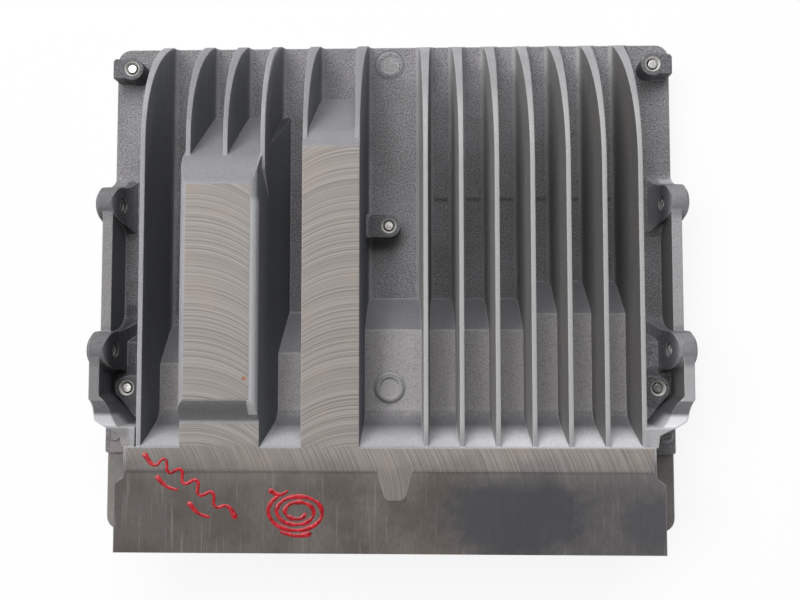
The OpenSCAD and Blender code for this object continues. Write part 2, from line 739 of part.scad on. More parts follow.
module cover_tray() {
    difference() {
        linear_extrude(part_z) plate_outline(y_top, y_face, 0, plate_r);
        translate([0, 0, base_t]) linear_extrude(part_z)
            plate_outline(y_top, flange_end_y + rim_w, rim_w, plate_r / 2);
        translate([-hood_in_x, y_face - 1, base_t])
            cube([2 * hood_in_x, flange_end_y - y_face + rim_w + 2, part_z]);
        translate([0, 0, -1]) linear_extrude(1 + panel_d)
            plate_outline(y_top, y_face + rim_w, rim_w, plate_r / 2);
        mirrored() translate([hood_in_x + wall, y_face + rim_w, -1])
            cube([ear_pocket_w, flange_end_y - y_face - rim_w, part_z - wall + 1]);
    }
    for (at = screw_places) translate([at[0], at[1], 0]) cylinder(part_z, cover_boss_r, cover_boss_r);
}

// Groove path along both sides and the plain edge
module seal_path() {
    difference() {
        plate_outline(y_top, flange_end_y, seal_inset, 1);
        plate_outline(y_top, flange_end_y - 1, seal_inset + seal_w, 1);
    }
}

module back_cover() {
    color("gray") difference() {
        cover_tray();
        translate([0, 0, part_z - seal_d]) linear_extrude(seal_d + 1) seal_path();
        for (at = screw_places) {
            translate([at[0], at[1], -1]) cylinder(part_z + 2, cover_hole_r, cover_hole_r);
            translate([at[0], at[1], -1]) cylinder(head_seat_z + 1, head_hole_r, head_hole_r);
        }
        translate([vent_x, vent_y, -1]) cylinder(base_t + 2, vent_r + screw_gap, vent_r + screw_gap);
    }
}

module cover_seal() {
    color("black") translate([0, 0, part_z - seal_d]) linear_extrude(seal_d) seal_path();
}

module cover_screws() {
    color("silver") for (at = screw_places) translate([at[0], at[1], 0]) rotate_extrude() polygon([
        [0, head_drop], [screw_head_r, head_drop], [screw_head_r, head_seat_z], [screw_r, head_seat_z],
        [screw_r, boss_z - screw_tip_l], [screw_tip_r, boss_z - screw_tip_l + 0.8],
        [screw_tip_r, boss_z - 0.4], [0, boss_z - 0.4]]);
}

// Connector header

module header_block(y0, y1, inset) {
    translate([-header_w / 2 + inset, y0, header_z0 + inset])
        cube([header_w - 2 * inset, y1 - y0, header_z1 - header_z0 - 2 * inset]);
}

// Place of a bay: left at -1, right at 1
module at_bay(side) {
    translate([side * bay_mid_x, 0, bay_mid_z]) children();
}

module connector_header() {
    color("black") difference() {
        union() {
            header_block(header_y0, shroud_end_y, 0);
            for (x = foot_xs) translate([x - foot_w / 2, shroud_end_y - 1, board_top_z])
                cube([foot_w, foot_screw_y - shroud_end_y + foot_l / 2 + 1, foot_t]);
        }
        for (side = [-1, 1]) at_bay(side) difference() {
            translate([-bay_w / 2, header_y0 - 1, -bay_h / 2]) cube([bay_w, shroud_l + 2, bay_h]);
            for (x = [-bay_w / 4, bay_w / 4]) translate([x - key_w / 2, header_y0 + 3, bay_h / 2 - key_h])
                cube([key_w, shroud_l - carrier_t - 3, key_h + 1]);
        }
        for (x = foot_xs)
            translate([x, foot_screw_y, board_top_z - 1]) cylinder(foot_t - 0.4, small_hole_r, small_hole_r);
    }
}

// Hole for one contact through the carrier
module pin_hole(x, row, w) {
    translate([x - w / 2 - pin_gap, carrier_y0 - 1, bay_mid_z + row * row_pitch - pin_t / 2 - pin_gap])
        cube([w + 2 * pin_gap, carrier_t + 2, pin_t + 2 * pin_gap]);
}

// Bent contact: straight in the bay, then down to the board
module bent_pin(x, row, w) {
    z = bay_mid_z + row * row_pitch;
    bend_y = shroud_end_y + bend_first + (row + 1) * bend_pitch;
    side_extrude(x - w / 2, x + w / 2) polygon([[pin_tip_y, z - pin_t / 2], [bend_y, z - pin_t / 2],
        [bend_y, board_top_z], [bend_y + pin_t, board_top_z], [bend_y + pin_t, z + pin_t / 2],
        [pin_tip_y, z + pin_t / 2]]);
}

// Contacts are counted inwards from the outermost blade
function blade_x(side, column) = side * (last_blade_x - column * blade_pitch);
function signal_x(side, column) = side * (last_blade_x - blade_columns * blade_pitch - column * pin_pitch);

module pin_carrier() {
    color("darkslategray") for (side = [-1, 1]) difference() {
        at_bay(side) translate([-bay_w / 2, carrier_y0, -bay_h / 2]) cube([bay_w, carrier_t, bay_h]);
        for (row = pin_rows) {
            for (i = [0 : pin_columns - 1]) pin_hole(signal_x(side, i), row, pin_t);
            for (i = [0 : blade_columns - 1]) pin_hole(blade_x(side, i), row, blade_w);
        }
    }
}

module signal_pins() {
    color("gold") for (side = [-1, 1]) for (row = pin_rows) for (i = [0 : pin_columns - 1])
        bent_pin(signal_x(side, i), row, pin_t);
}

module power_pins() {
    color("gold") for (side = [-1, 1]) for (row = pin_rows) for (i = [0 : blade_columns - 1])
        bent_pin(blade_x(side, i), row, blade_w);
}

// Bead that fills the gap round the shroud
module header_seal() {
    color("black") difference() {
        header_block(seal_y0, seal_y1, -header_gap);
        header_block(seal_y0 - 1, seal_y1 + 1, 0);
    }
}

module small_screw(x, y, bite) {
    translate([x, y, 0]) rotate_extrude() polygon([[0, board_z - small_head_h],
        [small_head_r, board_z - small_head_h], [small_head_r, board_z], [small_screw_r, board_z],
        [small_screw_r, board_top_z + bite], [0, board_top_z + bite]]);
}

module header_screws() {
    color("silver") for (x = foot_xs) small_screw(x, foot_screw_y, foot_t - 1.5);
}

// Board and what stands on it

module circuit_board() {
    color("darkgreen") difference() {
        translate([-board_w / 2, board_y, board_z]) cube([board_w, board_end_y - board_y, board_t]);
        translate([screw_mid_x, mid_y, board_z - 1]) cylinder(board_t + 2, board_mid_r, board_mid_r);
        for (at = concat(board_screws_at, [for (x = foot_xs) [x, foot_screw_y]]))
            translate([at[0], at[1], board_z - 1]) cylinder(board_t + 2, small_hole_r, small_hole_r);
    }
}

module board_screws() {
    color("silver") for (at = board_screws_at) small_screw(at[0], at[1], small_screw_bite - 0.4);
}

// Flat package with leads along its two long sides
module flat_package(x, y, w, l, h, leads) {
    translate([x - w / 2, y - l / 2, board_top_z]) cube([w, l, h]);
    for (s = [-1, 1]) for (i = [0 : leads - 1])
        translate([x + s * (w / 2 + 0.5) - 0.8, y - l / 2 + (i + 0.5) * l / leads - 0.2, board_top_z])
            cube([1.6, 0.4, h / 2]);
}

module processor() {
    color("black") {
        flat_package(power_xs[2], mid_y - processor_w / 2, processor_w, processor_w, chip_h, 12);
        translate([power_xs[2], mid_y - processor_w / 2, board_top_z])
            cylinder(chip_h + 0.3, processor_w / 6, processor_w / 6);
    }
}

module memory_chip() {
    color("black") flat_package(power_xs[4] + power_pitch / 2, mid_y - 2, memory_w, memory_l, 1.2, 8);
}

module supply_chip() {
    color("black") flat_package(-board_w / 2 + 26, mid_y + 3 * supply_l, supply_w, supply_l, 1.8, 10);
}

module driver_chips() {
    color("black") for (i = [0 : 2])
        flat_package(power_xs[0] + (i * 1.6 + 1) * power_pitch, foot_y + 12, driver_w, driver_l, chip_h, 9);
}

module bus_transceivers() {
    color("black") for (i = [4, 5])
        flat_package(power_xs[i] + 0.4 * power_pitch, mid_y - 28, bus_w, bus_l, 1.4, 4);
}

// Power package: body on a wider tab
module power_package(x, y) {
    translate([x - transistor_w / 2, y - transistor_l / 2, board_top_z]) {
        cube([transistor_w, transistor_l * 0.72, transistor_h]);
        translate([0, transistor_l * 0.7, 0]) cube([transistor_w, transistor_l * 0.3, 0.6]);
        for (dx = [transistor_w / 6, transistor_w * 5 / 6])
            translate([dx - 0.4, -2.2, 0]) cube([0.8, 2.4, 0.6]);
    }
}

module ignition_transistors() {
    color("black") for (x = power_xs) power_package(x, power_row_y);
}

module injector_transistors() {
    color("black") for (x = power_xs) power_package(x, power_row_y + power_row_gap);
}

module heat_pads() {
    color("lightgray") for (y = [power_row_y, power_row_y + power_row_gap])
        translate([power_xs[0] - transistor_w / 2, y - transistor_l / 2, board_top_z + transistor_h])
            cube([power_end_x - power_xs[0] + transistor_w, transistor_l * 0.7, pad_h]);
}

module bulk_capacitors() {
    color("silver") for (y = capacitor_ys)
        translate([capacitor_x, y, board_top_z]) cylinder(capacitor_h, can_r, can_r);
}

// Plain sleeve round each can, open at the top
module capacitor_sleeves() {
    color("black") for (y = capacitor_ys) translate([capacitor_x, y, board_top_z]) rotate_extrude() polygon([
        [can_r + coil_clear, sleeve_z], [capacitor_r, sleeve_z], [capacitor_r, capacitor_h - 1],
        [can_r + coil_clear, capacitor_h - 1]]);
}

module boost_coil_bobbins() {
    color("dimgray") for (y = coil_ys) translate([coil_x, y, board_top_z]) rotate_extrude() polygon([
        [0, 0], [coil_r, 0], [coil_r, coil_lip], [coil_core_r, coil_lip], [coil_core_r, coil_h - coil_lip],
        [coil_r, coil_h - coil_lip], [coil_r, coil_h], [0, coil_h]]);
}

module boost_coil_windings() {
    color("peru") for (y = coil_ys) translate([coil_x, y, board_top_z]) rotate_extrude() polygon([
        [coil_core_r + coil_clear, coil_lip], [coil_r - 0.6, coil_lip],
        [coil_r - 0.6, coil_h - coil_lip], [coil_core_r + coil_clear, coil_h - coil_lip]]);
}

module chip_row(x, y, n, pitch, w, l, h) {
    for (i = [0 : n - 1]) translate([x + i * pitch - w / 2, y - l / 2, board_top_z]) cube([w, l, h]);
}

module shunt_resistors() {
    color("dimgray")
        chip_row(power_xs[0], power_row_y - shunt_gap, power_count, power_pitch, shunt_w, shunt_l, 0.9);
}

module clock_crystal() {
    color("silver") chip_row(power_xs[3] + 0.4 * power_pitch, mid_y - 2, 1, 1, crystal_w, crystal_l, 1.1);
}

module pressure_sensor() {
    color("silver") {
        chip_row(-board_w / 2 + 50, mid_y + 62, 1, 1, sensor_w, sensor_w, 1.6);
        translate([-board_w / 2 + 50, mid_y + 62, board_top_z]) cylinder(2.2, 1.2, 1.2);
    }
}

module clamp_diodes() {
    diode_y = capacitor_ys[0] - capacitor_r - diode_gap - diode_l / 2;
    color("black") chip_row(capacitor_x - diode_pitch, diode_y, 3, diode_pitch, diode_w, diode_l, 2.3);
}

module ceramic_capacitors() {
    color("tan") {
        chip_row(power_xs[0], power_row_y + 8, power_count, power_pitch, 3.2, 1.6, 1.6);
        chip_row(power_xs[0] + 0.4 * power_pitch, foot_y + 24, 8, 7, 2, 1.2, 1.2);
    }
}

// Vent

module vent_plug() {
    color("black") translate([vent_x, vent_y, panel_d]) rotate_extrude() polygon([
        [vent_hole_r, 0], [vent_r, 0], [vent_r, base_t - panel_d], [vent_r + vent_lip, base_t - panel_d],
        [vent_r + vent_lip, base_t - panel_d + vent_lip_t], [vent_hole_r, base_t - panel_d + vent_lip_t]]);
}

module vent_membrane() {
    color("white") translate([vent_x, vent_y, base_t + vent_lip_t])
        cylinder(membrane_t, vent_r - 0.8, vent_r - 0.8);
}

finned_housing();
back_cover();
cover_screws();
cover_seal();
connector_header();
pin_carrier();
signal_pins();
power_pins();
header_seal();
header_screws();
circuit_board();
board_screws();
processor();
memory_chip();
supply_chip();
driver_chips();
bus_transceivers();
ignition_transistors();
injector_transistors();
heat_pads();
bulk_capacitors();
capacitor_sleeves();
boost_coil_bobbins();
boost_coil_windings();
shunt_resistors();
clock_crystal();
pressure_sensor();
clamp_diodes();
ceramic_capacitors();
vent_plug();
vent_membrane();
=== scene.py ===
# %% [markdown]
# # Engine control unit
# A finned, die-cast housing stands on a shallow cover tray, with two connector bays under its hood.
# The solids already have the right shape and size, so this lesson gives them camera, light and finishes,
# and adds the few things that only show on a used unit: cut threads and marks of red paint.

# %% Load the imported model
import math

import bpy
from mathutils import Matrix, Vector


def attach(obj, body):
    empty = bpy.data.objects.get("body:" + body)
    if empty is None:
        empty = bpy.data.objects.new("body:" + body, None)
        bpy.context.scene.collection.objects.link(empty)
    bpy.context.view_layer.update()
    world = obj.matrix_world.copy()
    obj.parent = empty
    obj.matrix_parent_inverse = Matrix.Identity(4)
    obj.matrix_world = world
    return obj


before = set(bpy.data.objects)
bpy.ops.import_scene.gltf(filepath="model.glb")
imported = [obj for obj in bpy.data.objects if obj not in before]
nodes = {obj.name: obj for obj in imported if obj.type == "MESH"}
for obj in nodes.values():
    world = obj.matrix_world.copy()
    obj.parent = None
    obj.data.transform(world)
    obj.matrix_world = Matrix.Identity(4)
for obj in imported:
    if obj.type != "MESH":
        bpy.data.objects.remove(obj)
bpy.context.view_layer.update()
scene = bpy.context.scene
bpy.ops.object.select_all(action="DESELECT")
MM = 0.001

# %% [markdown]
# ## Camera
# The unit is seen from straight above, from so near that the fins lean away from the middle.
# A long lens would hide that lean. The lens and the tilt below were fitted to the fins' tops and roots,
# and a small shift keeps the frame where the photograph has it.

# %% Camera above the fins
lens = bpy.data.cameras.new("camera")
lens.lens = 32.49
lens.sensor_width = 36
lens.shift_x, lens.shift_y = -0.00345, 0.00655
camera = bpy.data.objects.new("camera", lens)
scene.collection.objects.link(camera)
camera_at, tilts = (0.01291, -0.02388, 0.34149), ((2.701, "X"), (1.331, "Y"), (-0.09, "Z"))
turn = Matrix.Identity(4)
for degrees, axis in tilts:
    turn = turn @ Matrix.Rotation(math.radians(degrees), 4, axis)
camera.matrix_world = Matrix.Translation(camera_at) @ turn
scene.camera = camera
scene.view_settings.view_transform = "Standard"
print("camera height in mm:", round(camera.location.z / MM, 1))

# %% [markdown]
# ## Wiring helper
# Every finish below is a small tree of shader nodes. Adding each node by hand takes many lines,
# so one helper adds a node, sets its sockets and joins it to others. Masks run from 0 to 1, and patterns are
# written in millimetres.


# %% Helper that adds and joins shader nodes
class Wiring:
    def __init__(self, tree):
        self.tree = tree

    def add(self, kind, sockets=(), **settings):
        made = self.tree.nodes.new("ShaderNode" + kind)
        for key, value in settings.items():
            setattr(made, key, value)
        for key, value in dict(sockets).items():
            self.feed(made.inputs[key], value)
        return made

    def feed(self, socket, value):
        if isinstance(value, bpy.types.NodeSocket):
            self.tree.links.new(value, socket)
        else:
            socket.default_value = value

    def math(self, operation, a, b=0.0):
        return self.add("Math", {0: a, 1: b}, operation=operation).outputs[0]

    def most(self, *values):
        total = values[0]
        for value in values[1:]:
            total = self.math("MAXIMUM", total, value)
        return total

    def times(self, *values):
        total = values[0]
        for value in values[1:]:
            total = self.math("MULTIPLY", total, value)
        return total

    def rest(self, value):
        """What a mask leaves out."""
        return self.math("SUBTRACT", 1.0, value)

    def fade(self, value, low, high):
        """0 at low and 1 at high, with a soft change between them. Low may be the greater one."""
        sockets = {"Value": value, "From Min": low, "From Max": high}
        return self.add("MapRange", sockets, interpolation_type="SMOOTHSTEP").outputs["Result"]

    def band(self, value, low, high, soft):
        """1 between low and high, soft at both ends."""
        return self.times(self.fade(value, low - soft, low + soft), self.fade(value, high + soft, high - soft))

    def span(self, value, low, high):
        """A mask stretched to run from low to high."""
        return self.add("MapRange", {"Value": value, "To Min": low, "To Max": high}).outputs["Result"]

    def blend(self, share, a, b):
        return self.add("Mix", {0: share, 2: a, 3: b}, data_type="FLOAT").outputs[0]

    def colour(self, share, a, b):
        return self.add("Mix", {0: share, 6: a, 7: b}, data_type="RGBA").outputs[2]

    def stretch(self, place, factors):
        return self.add("VectorMath", {0: place, 1: factors}, operation="MULTIPLY").outputs[0]

    def noise(self, place, scale, detail=3.0, rough=0.55):
        sockets = {"Vector": place, "Scale": scale, "Detail": detail, "Roughness": rough}
        return self.add("TexNoise", sockets).outputs["Fac"]

    def apart(self, place, other):
        """Distance between two points."""
        return self.add("VectorMath", {0: place, 1: other}, operation="DISTANCE").outputs["Value"]

    def tint(self, base, *layers):
        """The base colour under layers, each a mask, its share and a screen colour."""
        for mask, share, screen in layers:
            base = self.colour(self.times(mask, share), base, tone(*screen))
        return base

    def group(self, tree, sockets):
        made = self.add("Group", node_tree=tree)
        for key, value in sockets.items():
            self.feed(made.inputs[key], value)
        return made.outputs


def tone(red, green, blue):
    """A colour as seen on a screen, 0 to 255, in the linear values that shaders take."""
    parts = [v / 255 for v in (red, green, blue)]
    return tuple(v / 12.92 if v <= 0.04045 else ((v + 0.055) / 1.055) ** 2.4 for v in parts) + (1.0,)


def grey(value):
    return (value, value, value, 1.0)


print("mid grey:", round(tone(128, 128, 128)[0], 3))

# %% [markdown]
# ## Floor and light
# The unit lies on a white ground under soft light. A wide lamp stands beyond the flange edge and shines along the
# bays. A second one on the left lights the fins' left sides, and the right sides stay dark. A weak, low fill keeps
# the faces that both miss readable. A pale floor takes the shadow. Part of its white is its own light, for the
# camera and for reflections only, so the ground stays white without more light on the unit. The sky is white low
# down, where side views see it, and dim overhead, where the casting's level faces would mirror it.


# %% White floor that keeps the shadow
def seen_rays(w):
    """1 for rays that a viewer or a reflection sees, 0 for rays that light the unit."""
    path = w.add("LightPath").outputs
    return w.most(path["Is Camera Ray"], path["Is Glossy Ray"], path["Is Transmission Ray"])


bpy.ops.mesh.primitive_plane_add(size=8, location=(0, 0, -0.4 * MM))
floor = bpy.context.object
floor.name = "floor"
paper = bpy.data.materials.new("paper")
paper.use_nodes = True
w = Wiring(paper.node_tree)
w.tree.nodes.clear()
paper_tone, own_light = 0.86, 0.86
matt = w.add("BsdfDiffuse", {"Color": grey(paper_tone)}).outputs[0]
glow = w.add("Emission", {"Color": grey(1.0), "Strength": 1.0}).outputs[0]
both = w.add("MixShader", {0: w.times(seen_rays(w), own_light), 1: matt, 2: glow}).outputs[0]
w.add("OutputMaterial", {"Surface": both})
floor.data.materials.append(paper)
print("floor in m:", [round(v, 1) for v in floor.dimensions])

# %% Dim sky, white towards the horizon
world = bpy.data.worlds.new("studio")
world.use_nodes = True
w = Wiring(world.node_tree)
height = w.add("SeparateXYZ", {0: w.add("TexCoord").outputs["Generated"]}).outputs["Z"]
back = world.node_tree.nodes["Background"]
lighting, horizon, overhead = 0.06, 1.0, 0.15
seen_sky = w.blend(w.fade(height, 0.25, 0.55), horizon, overhead)
w.feed(back.inputs["Strength"], w.blend(seen_rays(w), lighting, seen_sky))
back.inputs["Color"].default_value = (0.98, 0.99, 1.0, 1.0)
scene.world = world
print("sky nodes:", len(w.tree.nodes))


# %% Soft lamps: upper edge, left and a low fill
def soft_lamp(name, at, size, power):
    lamp = bpy.data.lights.new(name, "AREA")
    lamp.energy, lamp.size = power, size
    holder = bpy.data.objects.new(name, lamp)
    scene.collection.objects.link(holder)
    holder.matrix_world = Matrix.Translation(at) @ Vector(at).to_track_quat("Z", "Y").to_matrix().to_4x4()


soft_lamp("key", (-0.1, 1.7, 1.8), 1.9, 52)
soft_lamp("side", (-1.9, 0.5, 2.8), 1.8, 74)
soft_lamp("fill", (1.8, -1.2, 0.6), 1.2, 11)

# %% [markdown]
# ## Shared effects
# Cast skin, plain skin, soft edges, milling lines, stains and fine scratches come back in several finishes or in
# several places, so each is a node group with named sockets. A group only gives masks and normals. The finish
# that uses it decides what they change.


# %% Frame for a node group
def new_group(name, takes, gives):
    tree = bpy.data.node_groups.new(name, "ShaderNodeTree")
    for way, labels in (("INPUT", takes), ("OUTPUT", gives)):
        for label in labels:
            kind = "Vector" if label in ("Place", "Centre", "Radii", "Normal") else "Float"
            tree.interface.new_socket(label, in_out=way, socket_type="NodeSocket" + kind)
    entry = tree.nodes.new("NodeGroupInput")
    leave = tree.nodes.new("NodeGroupOutput")
    return tree, Wiring(tree), entry.outputs, leave.inputs


# %% Cast skin: broad clouds, fine grain, pits and flow streaks
cast_skin, w, takes, gives = new_group("cast_skin", ["Place"], ["Clouds", "Grain", "Pits", "Streaks"])
w.feed(gives["Clouds"], w.noise(takes["Place"], 0.045, 4.0, 0.6))
w.feed(gives["Grain"], w.noise(takes["Place"], 1.5, 2.0, 0.6))
cells = w.add("TexVoronoi", {"Vector": takes["Place"], "Scale": 0.75, "Randomness": 1.0}).outputs["Distance"]
w.feed(gives["Pits"], w.fade(cells, 0.34, 0.12))
w.feed(gives["Streaks"], w.noise(w.stretch(takes["Place"], (0.9, 0.04, 0.9)), 1.0, 3.0, 0.6))
print("cast_skin nodes:", len(cast_skin.nodes))

# %% Plain skin: clouds and fine grain, each at a scale of its own
plain_skin, w, takes, gives = new_group("plain_skin", ["Place", "Cloud Scale", "Grain Scale"], ["Clouds", "Grain"])
w.feed(gives["Clouds"], w.noise(takes["Place"], takes["Cloud Scale"], 4.0, 0.6))
w.feed(gives["Grain"], w.noise(takes["Place"], takes["Grain Scale"], 2.0, 0.6))
print("plain_skin nodes:", len(plain_skin.nodes))

# %% Soft edges: a normal that rounds every edge, and how far it turns from the flat face
soft_edges, w, takes, gives = new_group("soft_edges", ["Radius"], ["Normal", "Turn"])
rounded = w.add("Bevel", {"Radius": takes["Radius"]}, samples=6).outputs[0]
flat = w.add("NewGeometry").outputs["True Normal"]
kept = w.add("VectorMath", {0: rounded, 1: flat}, operation="DOT_PRODUCT").outputs["Value"]
w.feed(gives["Normal"], rounded)
w.feed(gives["Turn"], w.rest(kept))
print("soft_edges nodes:", len(soft_edges.nodes))

# %% Milling lines: uneven bands along a cutter's path
milling, w, takes, gives = new_group("milling", ["Phase"], ["Lines"])
summed = 0.0
for scale, share in ((0.2, 0.25), (1.0, 0.75)):
    sockets = {"W": takes["Phase"], "Scale": scale, "Detail": 1.0}
    bands = w.add("TexNoise", sockets, noise_dimensions="1D").outputs["Fac"]
    summed = w.math("ADD", summed, w.times(bands, share))
w.feed(gives["Lines"], summed)
print("milling nodes:", len(milling.nodes))

# %% Stain: soft oval with a ragged edge
stain, w, takes, gives = new_group("stain", ["Place", "Centre", "Radii", "Ragged"], ["Mask"])
away = w.add("VectorMath", {0: takes["Place"], 1: takes["Centre"]}, operation="SUBTRACT").outputs[0]
ratio = w.add("VectorMath", {0: away, 1: takes["Radii"]}, operation="DIVIDE").outputs[0]
reach = w.add("VectorMath", {0: ratio}, operation="LENGTH").outputs["Value"]
torn = w.math("SUBTRACT", w.noise(takes["Place"], 0.22, 4.0, 0.65), 0.5)
w.feed(gives["Mask"], w.fade(w.math("ADD", reach, w.times(torn, takes["Ragged"])), 1.05, 0.55))
print("stain nodes:", len(stain.nodes))

# %% Scratches: thin broken lines in two directions
scratches, w, takes, gives = new_group("scratches", ["Place"], ["Lines"])
found = []
for turned in (0.35, -0.9):
    spun = w.add("VectorRotate", {"Vector": takes["Place"], "Angle": turned}, rotation_type="Z_AXIS").outputs[0]
    thin = w.noise(w.stretch(spun, (2.6, 0.05, 0.05)), 1.0, 1.0, 0.5)
    gate = w.fade(w.noise(spun, 0.09, 2.0), 0.55, 0.7)
    found.append(w.times(w.band(thin, 0.495, 0.505, 0.008), gate))
w.feed(gives["Lines"], w.most(*found))
print("scratches nodes:", len(scratches.nodes))


# %% Start of a finish: a new material and its place in millimetres
def new_finish(name, metallic=0.0):
    finish = bpy.data.materials.new(name)
    finish.use_nodes = True
    w = Wiring(finish.node_tree)
    shader = finish.node_tree.nodes["Principled BSDF"]
    shader.inputs["Metallic"].default_value = metallic
    coordinates = w.add("TexCoord").outputs["Object"]
    place = w.add("VectorMath", {0: coordinates, 3: 1 / MM}, operation="SCALE").outputs[0]
    return finish, w, shader.inputs, place


def relief(w, shader, height, edges):
    """Small relief on softened edges. Its height is in millimetres."""
    sockets = {"Strength": 1.0, "Distance": MM, "Height": height, "Normal": edges["Normal"]}
    w.feed(shader["Normal"], w.add("Bump", sockets).outputs[0])


# %% [markdown]
# ## Housing
# The housing is one aluminium casting that has greyed outdoors. Its floors are rough from the mould, the fins'
# sides are smoother with streaks along the metal's flow, and the block, the ridge and a band of the hood were
# milled flat, which left pale arcs from the cutter. One material shows all of this, with masks by height and
# slope, because those follow the real machining: a cutter touches whatever stands highest. Further masks mark
# places that dirt, oil and handling left paler or darker. Many other tints are painted light and shade, because
# soft lamps alone give less contrast than the photograph has: lit and shaded tones on the fins' two sides, darker
# pockets, lobes, slopes and ramp feet, lighter ramp tops, a lit shoulder, glints in the creases, and a left side
# painted darker than the right.

# %% Heights, lines and axes that the masks share, in millimetres
step_z, fin_z = 29.0, 48.0  # raised floor, tops of the fins
skin_z, milled_z, block_z = 48.6, 49.0, 54.5  # hood as cast, hood and ridge as milled, top of the block
block_x, band_y = (-90.0, -46.0), -76.3  # the block from left to right, lower edge of the hood's milled band
tab_axes = [(36.0, 23.4), (-28.5, 29.5)]  # Y and Z of the tapped holes, the same on both sides
print("milled heights:", milled_z, block_z)

# %% Masks of level, steep, milled and hood faces
cast_metal, w, shader, place = new_finish("cast_metal", 0.12)
shader["Specular IOR Level"].default_value = 0.3
xyz = w.add("SeparateXYZ", {0: place}).outputs
slope = w.add("SeparateXYZ", {0: w.add("NewGeometry").outputs["True Normal"]}).outputs
skin = w.group(cast_skin, {"Place": place})
edges = w.group(soft_edges, {"Radius": 0.9 * MM})
level = w.fade(slope["Z"], 0.8, 0.97)
steep = w.fade(slope["Z"], 0.6, 0.25)
block_cut = w.fade(xyz["Z"], block_z - 0.1, block_z - 0.03)
on_block = w.times(w.band(xyz["X"], *block_x, 0.5), w.fade(xyz["Y"], -58.6, -57.6))
hood_cut = w.times(w.band(xyz["Z"], milled_z - 0.14, milled_z + 0.12, 0.06), w.rest(on_block))
milled = w.times(w.most(block_cut, hood_cut), level)
on_hood = w.fade(xyz["Y"], -70.0, -76.0)
hood_skin = w.times(w.fade(xyz["Z"], skin_z - 0.4, skin_z - 0.1), on_hood, level, w.rest(milled))
low_floor = w.times(level, w.fade(xyz["Z"], step_z + 2.0, step_z + 1.0))
raised_floor = w.times(low_floor, w.fade(xyz["Z"], step_z - 1.5, step_z - 0.5))
print("nodes so far:", len(w.tree.nodes))

# %% Masks of ramps, slopes and fin tops
facing = w.fade(slope["Y"], 0.3, 0.5)
shaded_small_ramp = w.times(facing, w.band(xyz["Z"], 16.3, step_z - 0.3, 0.3), w.band(xyz["Y"], -36.0, 4.0, 0.5))
hood_ramp = w.times(facing, w.band(xyz["Y"], -67.6, -55.0, 1.0), w.band(xyz["Z"], step_z + 0.5, milled_z, 0.3))
shaded_ramp_foot = w.times(w.band(xyz["Y"], -60.5, -54.5, 1.0), w.band(xyz["Z"], step_z - 0.5, 34.0, 0.5))
falling = w.times(w.fade(slope["Y"], 0.02, 0.2), w.fade(xyz["Y"], 37.0, 39.0))
shaded_long_slope = w.times(falling, w.most(w.band(xyz["X"], -86.0, -53.2, 0.3), w.band(xyz["X"], -43.0, -10.0, 1.0)))
shaded_edge = w.times(falling, w.band(xyz["X"], -51.0, -44.0, 0.5))
shaded_low_end = w.times(w.fade(slope["Y"], -0.1, -0.35), w.band(xyz["X"], *block_x, 0.5),
    w.fade(xyz["Z"], milled_z - 0.2, milled_z + 0.4))
lit_shoulder = w.times(w.band(xyz["X"], -56.0, -51.8, 0.4), w.band(xyz["Z"], 50.5, block_z - 0.12, 0.05),
    w.band(xyz["Y"], -57.0, 33.0, 1.5))
fin_top = w.times(w.fade(slope["Z"], 0.3, 0.6), w.fade(xyz["Z"], 37.0, fin_z - 0.1),
    w.band(xyz["X"], -8.0, 106.5, 0.5), w.fade(xyz["Y"], -66.0, -56.0))
print("nodes so far:", len(w.tree.nodes))

# %% Masks of the side walls, their tabs and pockets
left_edge = w.fade(xyz["X"], -104.0, -107.0)
right_edge = w.fade(xyz["X"], 104.5, 107.0)
sides = w.most(left_edge, right_edge)
shaded_side_slope = w.times(sides, w.fade(slope["Y"], 0.1, 0.35), w.band(xyz["Y"], -68.0, -44.0, 1.0),
    w.fade(xyz["Z"], fin_z - 0.2, fin_z - 1.0))
from_tabs = [w.apart(place, w.add("CombineXYZ", {"X": xyz["X"], "Y": y, "Z": z}).outputs[0]) for y, z in tab_axes]
shaded_lobe = w.times(sides, w.fade(w.math("MINIMUM", *from_tabs), 11.5, 9.0))
pocket = w.times(w.most(w.band(xyz["X"], -120.3, -104.5, 0.6), w.band(xyz["X"], 106.0, 120.3, 0.6)),
    w.fade(xyz["Z"], 40.0, 34.0))
low_pocket_shade = w.times(pocket, left_edge, w.band(xyz["Y"], -66.0, -8.0, 2.0))
left_ear = w.times(level, w.band(xyz["X"], -127.0, -106.0, 1.0), w.band(xyz["Y"], -90.0, -64.0, 1.0))
print("nodes so far:", len(w.tree.nodes))

# %% Cutter arcs on the block, the ridge and the band
arc_r, arc_pitch = 42.0, 0.8


def arc_phase(along, across, centre):
    """Lines of a round cutter that moves along one way, bent across it."""
    aside = w.math("SUBTRACT", across, centre)
    bow = w.math("SQRT", w.most(w.math("SUBTRACT", arc_r ** 2, w.times(aside, aside)), 1.0))
    return w.math("DIVIDE", w.math("SUBTRACT", along, bow), arc_pitch)


beside = w.fade(xyz["X"], -46.0, -45.0)
upright = arc_phase(xyz["Y"], xyz["X"], w.span(beside, -80.0, -12.0))
sideways = arc_phase(xyz["X"], xyz["Y"], -88.5)
drawn = [w.group(milling, {"Phase": phase})["Lines"] for phase in (upright, sideways)]
lines = w.blend(w.fade(xyz["Y"], -63.0, -71.0), *drawn)
print("arc radius in mm:", arc_r)

